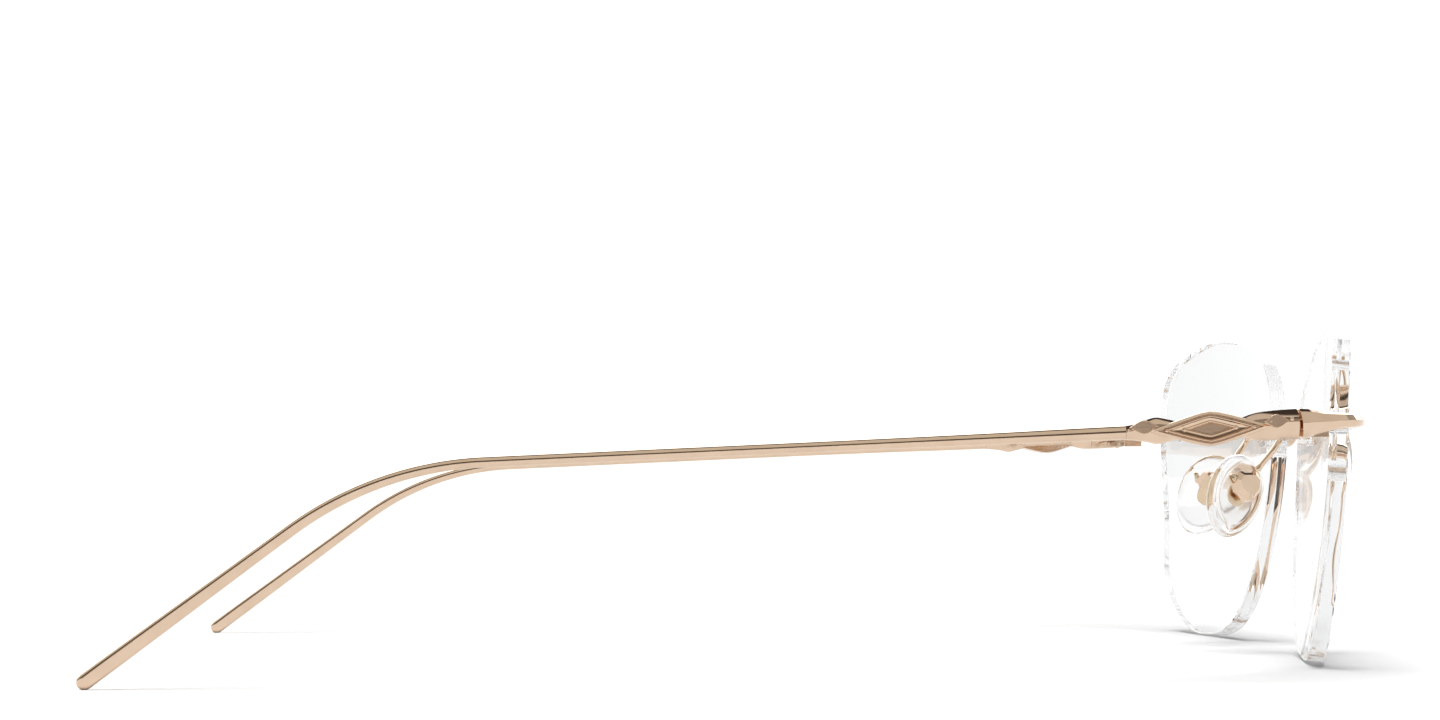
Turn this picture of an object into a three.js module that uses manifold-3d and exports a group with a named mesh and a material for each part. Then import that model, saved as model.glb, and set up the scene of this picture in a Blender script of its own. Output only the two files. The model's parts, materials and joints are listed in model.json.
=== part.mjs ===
// Rimless eyeglasses, open and standing on a table: two drilled lenses joined by a bridge, two
// endpieces with three-barrel hinges, bent wire temples with a lozenge ornament, and two
// screw-on nose pads.
//
// Frame: +X is the wearer's left, -Y is the way the wearer looks, +Z is up. The origin is on the
// table, under the middle of the open glasses. All lengths are millimetres.
//
// Every paired piece is shaped on the wearer's left and mirrored for the right.

import * as THREE from 'three';
import { mergeVertices } from 'three/addons/utils/BufferGeometryUtils.js';
import Module from 'manifold-3d';

const wasm = await Module();
wasm.setup();

// ---------------------------------------------------------------------------------------------
// Driving dimensions
// ---------------------------------------------------------------------------------------------

const LENS_WIDTH = 51;
const LENS_HEIGHT = 39.9;
const LENS_THICKNESS = 2.1;
const LENS_CURVE_RADIUS = 150;
const LENS_GAP = 17;
const LENS_WRAP = 7.3;
const LENS_LEAN = 5.4;
const LENS_FRONT_Y = -3.2;

const PIN_RADIUS = 0.42;
const PIN_SPACING = 3.3;
const BUSHING_BORE_RADIUS = 0.5;
const BUSHING_RADIUS = 0.75;
const LENS_HOLE_RADIUS = 0.85;
const BUSHING_FLANGE_RADIUS = 1.15;
const BUSHING_FLANGE_THICKNESS = 0.4;
const MOUNT_GAP = 0.1;

const HINGE_PIN = new THREE.Vector3(65.05, 8.95, 27.1);
const BARREL_RADIUS = 1.0;
const BARREL_BORE_RADIUS = 0.5;
const HINGE_HALF_HEIGHT = 1.3;
const BARREL_HALF_HEIGHT = 0.48;
const BARREL_GAP = 0.12;
const LEAF_THICKNESS = 0.7;
const LEAF_REACH = 3.6;
const LEAF_GAP = 0.1;
const SCREW_RADIUS = 0.42;
const SCREW_HEAD_RADIUS = 0.85;
const SCREW_HEAD_HEIGHT = 0.35;
const SCREW_SLOT_HALF_WIDTH = 0.12;
const SCREW_SLOT_DEPTH = 0.22;

const TEMPLE_X = 67.7;
const TEMPLE_HALF_WIDTH = 1.45;
const TEMPLE_SPLAY = 0.7;
const TEMPLE_RUN_SLOPE = 2.25;
const TEMPLE_TAIL_SLOPE = 36.12;
const TEMPLE_CORNER = 98.6;
const TEMPLE_REACH = 130.9;
const BEND_RADIUS = 37;
const HINGE_BUTT_GAP = 0.15;
const ORNAMENT_LENGTH = 18.7;
const WIRE_GAP = 0.1;
const LOZENGE_MIDDLE = 9.4;
const LOZENGE_HALF_LENGTH = 5.7;
const LOZENGE_HALF_HEIGHT = 1.86;
const LOZENGE_FACE = 1.3;
const GROOVE_DEPTH = 0.25;

const PAD_LENGTH = 11;
const PAD_WIDTH = 7.6;
const PAD_CENTRE = new THREE.Vector3(9.7, 5.5, 19.1);
const PAD_SPLAY = 25;
const PAD_TILT = 8;
const PAD_LEAN = 30;
const PAD_ARM_RADIUS = 0.38;

// In the pad's own frame, where +X goes away from the nose and +Z up the pad.
const PAD_BACK = 1.0;
const PAD_FACE = -1.1;
const PAD_SCREW_X = 2.15;
const PAD_SCREW_Z = 1.9;
const PAD_SCREW_RADIUS = 0.34;
const PAD_SCREW_HEAD_RADIUS = 0.62;
const PAD_SCREW_HEAD_HEIGHT = 0.4;
const PAD_BOX_Y = -0.6;
const PAD_BOX_Z = 1.1;
const PAD_BOX_DEPTH = 1.6;
const SHANK_HALF = 0.45;
const SHANK_GAP = 0.15;
const CORE_GAP = 0.08;

const REST_FLAT = 0.06;

const LENS_SIDES = 64;
const PAD_SIDES = 28;
const WIRE_SIDES = 12;
const BORE_SIDES = 16;
const RIGHT_THROUGH = 5;

const LEFT = 1;
const RIGHT = -1;
const SIDES = [[LEFT, 'left'], [RIGHT, 'right']];

// ---------------------------------------------------------------------------------------------
// Solids: closed skins, and joining and cutting them
// ---------------------------------------------------------------------------------------------

const vec = (x, y, z) => new THREE.Vector3(x, y, z);
const radians = THREE.MathUtils.degToRad;
const lerp = THREE.MathUtils.lerp;

function reverseFaces(index) {
  for (let i = 0; i < index.length; i += 3) {
    [index[i + 1], index[i + 2]] = [index[i + 2], index[i + 1]];
  }
}

function signedVolume(positions, index) {
  const corner = (i) => vec(...positions.slice(3 * i, 3 * i + 3));
  let total = 0;
  for (let i = 0; i < index.length; i += 3) {
    const [a, b, c] = [corner(index[i]), corner(index[i + 1]), corner(index[i + 2])];
    total += a.dot(b.cross(c));
  }
  return total / 6;
}

// A closed skin over a row of rings that all have the same number of points. Each end ring is
// closed by a fan about its middle.
function loft(rings) {
  const count = rings[0].length;
  const positions = rings.flat().flatMap((point) => [point.x, point.y, point.z]);
  const index = [];
  const corner = (ring, k) => ring * count + (k % count);
  for (let ring = 0; ring + 1 < rings.length; ring += 1) {
    for (let k = 0; k < count; k += 1) {
      index.push(corner(ring, k), corner(ring, k + 1), corner(ring + 1, k + 1));
      index.push(corner(ring, k), corner(ring + 1, k + 1), corner(ring + 1, k));
    }
  }
  for (const ring of [0, rings.length - 1]) {
    const middle = rings[ring].reduce((sum, point) => sum.add(point), vec(0, 0, 0));
    middle.divideScalar(count);
    const hub = positions.length / 3;
    positions.push(middle.x, middle.y, middle.z);
    for (let k = 0; k < count; k += 1) {
      const edge = [corner(ring, k), corner(ring, k + 1)];
      index.push(hub, ...(ring === 0 ? edge.reverse() : edge));
    }
  }
  if (signedVolume(positions, index) < 0) reverseFaces(index);
  const geometry = new THREE.BufferGeometry();
  geometry.setAttribute('position', new THREE.Float32BufferAttribute(positions, 3));
  geometry.setIndex(index);
  return geometry;
}

function toSolid(geometry) {
  const bare = geometry.clone();
  bare.deleteAttribute('normal');
  bare.deleteAttribute('uv');
  const merged = mergeVertices(bare, 1e-4);
  return new wasm.Manifold(new wasm.Mesh({
    numProp: 3,
    vertProperties: new Float32Array(merged.attributes.position.array),
    triVerts: new Uint32Array(merged.index.array),
  }));
}

function toGeometry(solid) {
  const mesh = solid.getMesh();
  const geometry = new THREE.BufferGeometry();
  geometry.setAttribute('position', new THREE.BufferAttribute(mesh.vertProperties, mesh.numProp));
  geometry.setIndex(new THREE.BufferAttribute(mesh.triVerts, 1));
  return geometry;
}

function joined(...geometries) {
  return toGeometry(geometries.map(toSolid).reduce((whole, piece) => whole.add(piece)));
}

function cut(geometry, ...cutters) {
  const blank = toSolid(geometry);
  return toGeometry(cutters.map(toSolid).reduce((rest, cutter) => rest.subtract(cutter), blank));
}

function mirrored(geometry) {
  const copy = geometry.clone().scale(-1, 1, 1);
  const index = Array.from(copy.index.array);
  reverseFaces(index);
  copy.setIndex(index);
  return copy;
}

// ---------------------------------------------------------------------------------------------
// Plain shapes
// ---------------------------------------------------------------------------------------------

// A box between two opposite corners.
function block(low, high) {
  const size = high.clone().sub(low);
  const middle = low.clone().add(high).multiplyScalar(0.5);
  return new THREE.BoxGeometry(size.x, size.y, size.z).translate(middle.x, middle.y, middle.z);
}

// A round bar along Y or Z, from one distance to another, centred on (a, b) across.
function barY(radius, from, to, x = 0, z = 0) {
  const bar = new THREE.CylinderGeometry(radius, radius, to - from, BORE_SIDES);
  return bar.translate(x, (from + to) / 2, z);
}

function barZ(radius, from, to, x = 0, y = 0) {
  const bar = new THREE.CylinderGeometry(radius, radius, to - from, BORE_SIDES).rotateX(Math.PI / 2);
  return bar.translate(x, y, (from + to) / 2);
}

function oval(halfWidth, halfHeight, sides = WIRE_SIDES) {
  return Array.from({ length: sides }, (_, k) => {
    const angle = (2 * Math.PI * (k + 0.5)) / sides;
    return [halfWidth * Math.cos(angle), halfHeight * Math.sin(angle)];
  });
}

// A rectangle with cut corners.
function softBox(halfWidth, halfHeight, corner) {
  const [w, h] = [halfWidth, halfHeight];
  const c = corner;
  return [[w, c - h], [w, h - c], [w - c, h], [c - w, h], [-w, h - c], [-w, c - h], [c - w, -h],
    [w - c, -h]];
}

// A ring: a flat outline laid across a path, at a point, with its own sideways and upward axes.
function ringAt(point, across, up, outline) {
  return outline.map(([a, b]) => point.clone().addScaledVector(across, a).addScaledVector(up, b));
}

// A bar that follows a curve in plan: its sections stand upright across the path, and their
// half-widths and half-heights are read from a table of [place along, half-width, half-height].
function plannedBar(curve, steps, table, outlineOf) {
  const rings = [];
  for (let step = 0; step <= steps; step += 1) {
    const along = step / steps;
    const direction = curve.getTangentAt(along);
    const across = vec(direction.y, -direction.x, 0).normalize();
    const up = across.clone().cross(direction).normalize();
    const [halfWidth, halfHeight] = readTable(table, along);
    rings.push(ringAt(curve.getPointAt(along), across, up, outlineOf(halfWidth, halfHeight)));
  }
  return loft(rings);
}

function readTable(table, place) {
  const last = table.length - 1;
  const next = Math.min(Math.max(table.findIndex((row) => row[0] >= place), 1), last);
  const row = place > table[last][0] ? last : next;
  const [from, to] = [table[row - 1], table[row]];
  const share = THREE.MathUtils.clamp((place - from[0]) / (to[0] - from[0]), 0, 1);
  return from.slice(1).map((value, k) => lerp(value, to[k + 1], share));
}

// A round wire through a few points.
function roundWire(points, radius, steps) {
  const section = new THREE.Shape().absarc(0, 0, radius, 0, 2 * Math.PI);
  const path = new THREE.CatmullRomCurve3(points);
  const settings = { extrudePath: path, steps, curveSegments: 10 };
  return toGeometry(toSolid(new THREE.ExtrudeGeometry(section, settings)));
}

// ---------------------------------------------------------------------------------------------
// Frames: where the lens, its mounting points, the temple and the nose pad sit
// ---------------------------------------------------------------------------------------------

function frameAt(point, turnZ, turnX = 0, turnY = 0) {
  const turn = new THREE.Euler(radians(turnX), radians(turnY), radians(turnZ), 'ZYX');
  const quaternion = new THREE.Quaternion().setFromEuler(turn);
  return new THREE.Matrix4().compose(point, quaternion, vec(1, 1, 1));
}

const lensCentreX = (LENS_GAP + LENS_WIDTH) / 2;
const lensBottomSag = surfaceDepth(0, LENS_HEIGHT / 2);
const lensCentreZ = (LENS_HEIGHT / 2) * Math.cos(radians(LENS_LEAN))
  - lensBottomSag * Math.sin(radians(LENS_LEAN)) - REST_FLAT;
const lensFrame = frameAt(vec(lensCentreX, LENS_FRONT_Y, lensCentreZ), LENS_WRAP, LENS_LEAN);

// How far behind the lens vertex a point of a curved face lies.
function surfaceDepth(across, up, radius = LENS_CURVE_RADIUS) {
  return radius - Math.sqrt(radius * radius - across * across - up * up);
}

// The frame of one mounting point: its origin is on the lens front, and its +Y goes straight
// through the lens towards the back.
function mountFrame(across, up) {
  const local = frameAt(
    vec(across, surfaceDepth(across, up), up),
    THREE.MathUtils.radToDeg(Math.asin(across / LENS_CURVE_RADIUS)),
    -THREE.MathUtils.radToDeg(Math.asin(up / LENS_CURVE_RADIUS)),
  );
  return lensFrame.clone().multiply(local);
}

const templeMount = mountFrame(20.3, 7.6);
const noseMount = mountFrame(-21.1, 6.5);
const mounts = [templeMount, noseMount];
const pinPlaces = [-PIN_SPACING / 2, PIN_SPACING / 2];

const templeFrame = frameAt(
  vec(TEMPLE_X, HINGE_PIN.y, HINGE_PIN.z), -TEMPLE_SPLAY, -TEMPLE_RUN_SLOPE);
const padFrame = frameAt(PAD_CENTRE, -PAD_SPLAY, 0, -PAD_TILT);
// The soft pad and its core plate lean in the pad's own plane: top forwards, foot back.
const padLean = frameAt(new THREE.Vector3(), 0, PAD_LEAN);

const placed = (geometry, frame) => geometry.applyMatrix4(frame);
const pointIn = (frame, x, y, z) => vec(x, y, z).applyMatrix4(frame);
const belowTable = block(vec(-200, -200, -10), vec(200, 200, 0));

// Turns a shape drawn in plan so that it stands up and is extruded along +X.
const facingOut = new THREE.Matrix4().makeBasis(vec(0, 1, 0), vec(0, 0, 1), vec(1, 0, 0));

// ---------------------------------------------------------------------------------------------
// Lens and its bushings
// ---------------------------------------------------------------------------------------------

// The edged shape: a soft cat-eye that is fullest high on the temple side. Points run from the
// top towards the temple, as [across, up], and are then fitted to the lens size.
function lensOutline() {
  const shape = [
    [1, 20.1], [13, 19.3], [23.2, 15.6], [25.5, 9.8], [22.6, -3.5], [19.2, -12.8], [9.5, -19],
    [-1, -20.1], [-12.5, -17.8], [-20.4, -10.8], [-25.0, 2.5], [-24.6, 10], [-15.5, 17.2],
  ];
  const curve = new THREE.CatmullRomCurve3(shape.map(([a, b]) => vec(a, 0, b)), true);
  const points = curve.getSpacedPoints(LENS_SIDES).slice(0, -1);
  const box = new THREE.Box3().setFromPoints(points);
  const size = box.getSize(vec(0, 0, 0));
  const middle = box.getCenter(vec(0, 0, 0));
  return points.map((point) => {
    const across = (point.x - middle.x) * (LENS_WIDTH / size.x);
    const up = (point.z - middle.z) * (LENS_HEIGHT / size.z);
    return [across, up];
  });
}

// One ring of a lens face: the outline drawn in by a share, at its depth on that face.
function lensRing(outline, share, thickness) {
  const radius = LENS_CURVE_RADIUS - thickness;
  return outline.map(([a, b]) => {
    const [across, up] = [a * share, b * share];
    return vec(across, thickness + surfaceDepth(across, up, radius), up);
  });
}

function lens() {
  const outline = lensOutline();
  const shares = [0.3, 0.6, 0.85, 1];
  const front = shares.map((share) => lensRing(outline, share, 0));
  const back = shares.map((share) => lensRing(outline, share, LENS_THICKNESS)).reverse();
  const blank = placed(loft([...front, ...back]), lensFrame);
  const drills = mounts.flatMap((frame) => pinPlaces.map((x) => (
    placed(barY(LENS_HOLE_RADIUS, -RIGHT_THROUGH, RIGHT_THROUGH, x), frame))));
  return cut(blank, ...drills, belowTable);
}

// A clear double bushing: two sleeves that fill the lens holes, joined by a flange on the back.
function bushing(frame) {
  const backFace = LENS_THICKNESS + MOUNT_GAP;
  const middle = backFace + BUSHING_FLANGE_THICKNESS / 2;
  const sleeves = pinPlaces.map((x) => barY(BUSHING_RADIUS, MOUNT_GAP, middle, x));
  const flange = new THREE.Shape();
  flange.absarc(pinPlaces[1], 0, BUSHING_FLANGE_RADIUS, -Math.PI / 2, Math.PI / 2);
  flange.absarc(pinPlaces[0], 0, BUSHING_FLANGE_RADIUS, Math.PI / 2, (3 * Math.PI) / 2);
  const plate = new THREE.ExtrudeGeometry(flange, {
    depth: BUSHING_FLANGE_THICKNESS, bevelEnabled: false, curveSegments: 8,
  });
  plate.rotateX(-Math.PI / 2).translate(0, backFace, 0);
  const bores = pinPlaces.map((x) => barY(BUSHING_BORE_RADIUS, -RIGHT_THROUGH, RIGHT_THROUGH, x));
  return placed(cut(joined(...sleeves, plate), ...bores), frame);
}

// The two pins that a bridge or an endpiece sends through its bushing.
function lensPins(frame, plateMiddle) {
  const tipEnd = LENS_THICKNESS + MOUNT_GAP + BUSHING_FLANGE_THICKNESS + 0.35;
  return pinPlaces.map((x) => placed(barY(PIN_RADIUS, plateMiddle, tipEnd, x), frame));
}

// ---------------------------------------------------------------------------------------------
// Bridge, pad arms and endpieces
// ---------------------------------------------------------------------------------------------

const PLATE_HALF_THICKNESS = 0.43;
const plateMiddle = -MOUNT_GAP - PLATE_HALF_THICKNESS;

function bridge() {
  const half = [
    pointIn(noseMount, 3.0, plateMiddle, 0),
    pointIn(noseMount, 0, plateMiddle, 0),
    pointIn(noseMount, -3.2, plateMiddle - 0.05, 0.2),
    vec(6.6, -5.8, 27.8),
    vec(3.6, -6.2, 29.2),
  ];
  const otherHalf = half.map((point) => vec(-point.x, point.y, point.z)).reverse();
  const curve = new THREE.CatmullRomCurve3([...half, vec(0, -6.3, 29.8), ...otherHalf]);
  const table = [
    [0, 0.25, 0.75], [0.04, 0.43, 1.15], [0.16, 0.43, 1.1], [0.3, 0.6, 0.8], [0.5, 0.75, 0.7],
    [0.7, 0.6, 0.8], [0.84, 0.43, 1.1], [0.96, 0.43, 1.15], [1, 0.25, 0.75],
  ];
  const bar = plannedBar(curve, 36, table, (w, h) => oval(w, h));
  const pins = lensPins(noseMount, plateMiddle);
  return joined(bar, ...pins, ...pins.map(mirrored));
}

// The wire that carries a nose pad: back from the bridge shoulder through the gap beside the
// lens, then down behind it to the pad box.
function padArm() {
  const boxTop = pointIn(padFrame, 2.5, -2.15, 3.1);
  return roundWire([
    vec(6.9, -4.75, 28.0), vec(6.6, -2.5, 28.6), vec(7.4, -1.0, 28.5), vec(9.6, -0.5, 27.4),
    vec(11.2, 0.3, 25.6), boxTop,
  ], PAD_ARM_RADIUS, 22);
}

function endpiece() {
  const curve = new THREE.CatmullRomCurve3([
    vec(TEMPLE_X, HINGE_PIN.y - HINGE_BUTT_GAP, HINGE_PIN.z),
    vec(67.5, 5.9, 27.35),
    vec(66.3, 3.1, 27.5),
    vec(63.4, 1.5, 27.5),
    pointIn(templeMount, 4.6, plateMiddle - 0.12, -0.05),
    pointIn(templeMount, 0, plateMiddle, 0),
    pointIn(templeMount, -3.4, plateMiddle, 0),
  ]);
  const table = [
    [0, TEMPLE_HALF_WIDTH, 1.58], [0.07, 1.25, 1.3], [0.15, 1.0, 1.0], [0.3, 0.8, 0.76],
    [0.5, 0.6, 0.7], [0.7, PLATE_HALF_THICKNESS, 0.7], [0.96, PLATE_HALF_THICKNESS, 0.68],
    [1, 0.25, 0.4],
  ];
  const arm = plannedBar(curve, 30, table, (w, h) => softBox(w, h, 0.3 * Math.min(w, h)));
  return joined(arm, ...lensPins(templeMount, plateMiddle));
}

// ---------------------------------------------------------------------------------------------
// Hinge: a middle barrel on the front, two outer barrels on the temple, and a screw
// ---------------------------------------------------------------------------------------------

const innerFace = TEMPLE_X - TEMPLE_HALF_WIDTH - LEAF_GAP - HINGE_PIN.x;
const leafStart = BARREL_RADIUS + 0.25;

// One barrel with its web, in hinge-pin coordinates. The web runs to the given side (+1 back
// towards the temple, -1 forward towards the endpiece).
function barrel(low, high, way) {
  const ends = [0, way * (leafStart + 0.1)].sort((a, b) => a - b);
  const web = block(vec(0, ends[0], low), vec(innerFace, ends[1], high));
  return joined(barZ(BARREL_RADIUS, low, high), web);
}

function hingeLeaf(way, levels) {
  const ends = [way * leafStart, way * LEAF_REACH].sort((a, b) => a - b);
  const plate = block(
    vec(innerFace - LEAF_THICKNESS, ends[0], -HINGE_HALF_HEIGHT),
    vec(innerFace, ends[1], HINGE_HALF_HEIGHT),
  );
  const barrels = levels.map(([low, high]) => barrel(low, high, way));
  const bore = barZ(BARREL_BORE_RADIUS, -RIGHT_THROUGH, RIGHT_THROUGH);
  const leaf = cut(joined(plate, ...barrels), bore);
  return leaf.translate(HINGE_PIN.x, HINGE_PIN.y, HINGE_PIN.z);
}

function frontLeaf() {
  return hingeLeaf(-1, [[-BARREL_HALF_HEIGHT, BARREL_HALF_HEIGHT]]);
}

function templeLeaf() {
  const inner = BARREL_HALF_HEIGHT + BARREL_GAP;
  return hingeLeaf(1, [[inner, HINGE_HALF_HEIGHT], [-HINGE_HALF_HEIGHT, -inner]]);
}

// A slotted screw whose head stands on the upper barrel.
function hingeScrew() {
  const headLow = HINGE_HALF_HEIGHT + 0.08;
  const headHigh = headLow + SCREW_HEAD_HEIGHT;
  const shank = barZ(SCREW_RADIUS, -HINGE_HALF_HEIGHT - 0.2, headLow + 0.1);
  const head = barZ(SCREW_HEAD_RADIUS, headLow, headHigh);
  const slot = block(
    vec(-1, -SCREW_SLOT_HALF_WIDTH, headHigh - SCREW_SLOT_DEPTH),
    vec(1, SCREW_SLOT_HALF_WIDTH, headHigh + 1),
  );
  return cut(joined(shank, head), slot).translate(HINGE_PIN.x, HINGE_PIN.y, HINGE_PIN.z);
}

// ---------------------------------------------------------------------------------------------
// Temple: cast ornament and bent wire
// ---------------------------------------------------------------------------------------------

// A lozenge plate that lies in the temple's outer face, between two distances outwards.
function lozenge(middle, halfLength, halfHeight, low, high) {
  const outline = new THREE.Shape([
    new THREE.Vector2(-halfLength, 0), new THREE.Vector2(0, -halfHeight),
    new THREE.Vector2(halfLength, 0), new THREE.Vector2(0, halfHeight),
  ]);
  const plate = new THREE.ExtrudeGeometry(outline, { depth: high - low, bevelEnabled: false });
  return plate.applyMatrix4(facingOut).translate(low, middle, 0);
}

// A sunk line that runs round a lozenge.
function lozengeGroove(middle, halfLength, halfHeight, outerShare, innerShare, floor) {
  const outer = lozenge(middle, halfLength * outerShare, halfHeight * outerShare, floor, 3);
  const inner = lozenge(middle, halfLength * innerShare, halfHeight * innerShare, floor - 1, 4);
  return cut(outer, inner);
}

function ornament() {
  const profile = [
    [HINGE_BUTT_GAP, 1.45, 1.56], [1.3, 1.4, 1.55], [2.7, 1.25, 1.5], [4.2, 1.0, 1.3],
    [5.4, 0.95, 1.15], [LOZENGE_MIDDLE, 0.95, 1.2], [14.4, 0.85, 0.85], [15.6, 1.0, 1.35],
    [16.6, 0.95, 1.2], [ORNAMENT_LENGTH, 0.75, 0.8],
  ];
  const rings = profile.map(([back, w, h]) => (
    ringAt(vec(0, back, 0), vec(1, 0, 0), vec(0, 0, 1), softBox(w, h, 0.25 * w))));
  const size = [LOZENGE_MIDDLE, LOZENGE_HALF_LENGTH, LOZENGE_HALF_HEIGHT];
  const plate = lozenge(...size, -1.0, LOZENGE_FACE);
  const grooves = [
    lozengeGroove(...size, 0.84, 0.7, LOZENGE_FACE - GROOVE_DEPTH),
    lozengeGroove(...size, 0.52, 0.42, LOZENGE_FACE - GROOVE_DEPTH),
  ];
  return placed(cut(joined(loft(rings), plate), ...grooves), templeFrame);
}

// The wire's own line, in the temple frame: a straight run, a round bend and a straight tail.
// Gives the point and the downward slope at a distance along it from the hinge.
const turnAngle = radians(TEMPLE_TAIL_SLOPE - TEMPLE_RUN_SLOPE);
const bendTangent = BEND_RADIUS * Math.tan(turnAngle / 2);
const bendStart = TEMPLE_CORNER - bendTangent;
const bendLength = BEND_RADIUS * turnAngle;
const tailLength = (TEMPLE_REACH - TEMPLE_CORNER) / Math.cos(turnAngle) - bendTangent;
const wireEnd = bendStart + bendLength + tailLength;

function wireLine(distance) {
  const turned = THREE.MathUtils.clamp((distance - bendStart) / bendLength, 0, 1) * turnAngle;
  const run = Math.min(distance, bendStart);
  const tail = Math.max(distance - bendStart - bendLength, 0);
  const back = run + BEND_RADIUS * Math.sin(turned) + tail * Math.cos(turned);
  const down = BEND_RADIUS * (1 - Math.cos(turned)) + tail * Math.sin(turned);
  return { point: vec(0, back, -down), slope: turned };
}

function wire() {
  const start = ORNAMENT_LENGTH + WIRE_GAP;
  const table = [
    [start, 0.72, 0.78], [start + 16, 0.6, 0.63], [start + 34, 0.56, 0.575],
    [bendStart, 0.56, 0.575], [bendStart + bendLength, 0.54, 0.66], [wireEnd - 4, 0.5, 0.88],
    [wireEnd, 0.5, 0.9],
  ];
  const straight = [0, 8, 16, 26, 40, 56].map((step) => start + step);
  const bend = Array.from({ length: 13 }, (_, k) => bendStart + (k * bendLength) / 12);
  const tail = [0.35, 0.65].map((share) => lerp(bendStart + bendLength, wireEnd, share));
  const round = [0.9, 0.6, 0.36, 0.17, 0.05, 0].map((back) => wireEnd - back);
  const rings = [...straight, ...bend, ...tail, ...round].map((distance) => {
    const { point, slope } = wireLine(distance);
    const up = vec(0, Math.sin(slope), Math.cos(slope));
    const left = Math.min((wireEnd - distance) / 0.9, 1);
    const rounding = Math.max(Math.sqrt(1 - (1 - left) ** 2), 0.2);
    const [w, h] = readTable(table, distance);
    return ringAt(point, vec(1, 0, 0), up, oval(w * rounding, h * rounding));
  });
  return cut(placed(loft(rings), templeFrame), belowTable);
}

// ---------------------------------------------------------------------------------------------
// Nose pad: box, screw, metal core and soft body, in the pad frame
// ---------------------------------------------------------------------------------------------

// A round bar on the pad screw's axis.
const padScrewBar = (radius, from, to) => barY(radius, from, to, PAD_SCREW_X, PAD_SCREW_Z);

// A shield-shaped cup that is open to the pad and holds the pad's shank between its cheeks.
function padBox() {
  const outline = new THREE.Shape([
    new THREE.Vector2(-1.9, 1.1), new THREE.Vector2(-1.2, 1.95), new THREE.Vector2(1.2, 1.95),
    new THREE.Vector2(1.9, 1.1), new THREE.Vector2(1.7, -0.7), new THREE.Vector2(0, -2.1),
    new THREE.Vector2(-1.7, -0.7),
  ]);
  const body = new THREE.ExtrudeGeometry(outline, { depth: PAD_BOX_DEPTH, bevelEnabled: false });
  body.applyMatrix4(facingOut).translate(PAD_BACK + 0.35, PAD_BOX_Y, PAD_BOX_Z);
  const slotHalf = SHANK_HALF + SHANK_GAP;
  const slot = block(
    vec(0, PAD_BOX_Y - slotHalf, PAD_SCREW_Z - 0.95),
    vec(PAD_SCREW_X + 0.62, PAD_BOX_Y + slotHalf, PAD_SCREW_Z + 0.85),
  );
  const bore = padScrewBar(PAD_SCREW_RADIUS + CORE_GAP, -RIGHT_THROUGH, RIGHT_THROUGH);
  return placed(cut(body, slot, bore), padFrame);
}

function padScrew() {
  const headLow = PAD_BOX_Y + 2.0;
  const shank = padScrewBar(PAD_SCREW_RADIUS, PAD_BOX_Y - 1.8, headLow + 0.1);
  const head = padScrewBar(PAD_SCREW_HEAD_RADIUS, headLow, headLow + PAD_SCREW_HEAD_HEIGHT);
  return placed(joined(shank, head), padFrame);
}

// The core: a plate sealed in the soft pad, with a drilled shank that reaches into the box.
function corePlate(grow) {
  const [w, h] = [1.3 + grow, 1.9 + grow];
  const plate = block(vec(-0.25 - grow, -w, -h + 0.6), vec(0.25 + grow, w, h + 0.6));
  return placed(plate, padLean);
}

function coreShank(grow, reach) {
  const half = SHANK_HALF + grow;
  return block(
    vec(0, PAD_BOX_Y - half, PAD_SCREW_Z - 0.6 - grow),
    vec(reach, PAD_BOX_Y + half, PAD_SCREW_Z + 0.6 + grow),
  );
}

function padCore() {
  const eye = padScrewBar(0.58, PAD_BOX_Y - SHANK_HALF, PAD_BOX_Y + SHANK_HALF);
  const body = joined(corePlate(0), coreShank(0, PAD_SCREW_X), eye);
  const bore = padScrewBar(PAD_SCREW_RADIUS + 0.06, -RIGHT_THROUGH, RIGHT_THROUGH);
  return placed(cut(body, bore), padFrame);
}

// An egg-shaped soft pad, wider above, with a flat middle on the side that meets the nose.
function padOutline(share) {
  return Array.from({ length: PAD_SIDES }, (_, k) => {
    const angle = (2 * Math.PI * k) / PAD_SIDES;
    const up = Math.sin(angle) * (PAD_LENGTH / 2) * share;
    const width = (PAD_WIDTH / 2) * (1 + 0.1 * Math.sin(angle));
    return [Math.cos(angle) * width * share, up];
  });
}

function nosePad() {
  const levels = [
    [PAD_FACE, 0.55], [PAD_FACE + 0.15, 0.8], [PAD_FACE + 0.6, 0.97], [-0.05, 1.0],
    [0.6, 0.95], [PAD_BACK - 0.05, 0.8], [PAD_BACK, 0.65],
  ];
  const rings = levels.map(([out, share]) => (
    ringAt(vec(out, 0, 0), vec(0, 1, 0), vec(0, 0, 1), padOutline(share))));
  const pocket = joined(corePlate(CORE_GAP), coreShank(CORE_GAP, RIGHT_THROUGH));
  return placed(cut(placed(loft(rings), padLean), pocket), padFrame);
}

// ---------------------------------------------------------------------------------------------
// Finishes and assembly
// ---------------------------------------------------------------------------------------------

const finish = (color, roughness, metalness, extra = {}) => (
  () => new THREE.MeshStandardMaterial({ color, roughness, metalness, ...extra }));
const champagneMetal = finish(0xd9b595, 0.18, 1);
const screwMetal = finish(0xcfae90, 0.3, 1);
const clearLens = finish(0xf6f8f9, 0.04, 0, { transparent: true, opacity: 0.25 });
const clearPlastic = finish(0xeef0f0, 0.2, 0, { transparent: true, opacity: 0.5 });
const softSilicone = finish(0xf2f2f0, 0.35, 0, { transparent: true, opacity: 0.55 });

const glasses = new THREE.Group();
const front = new THREE.Group();
glasses.add(front);

function add(parent, name, geometry, material) {
  const mesh = new THREE.Mesh(geometry, material());
  mesh.name = name;
  parent.add(mesh);
}

function addPair(parents, stem, geometry, material) {
  for (const [side, word] of SIDES) {
    const sided = side === LEFT ? geometry : mirrored(geometry);
    add(parents[word], `${stem}_${word}`, sided, material);
  }
}

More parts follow.
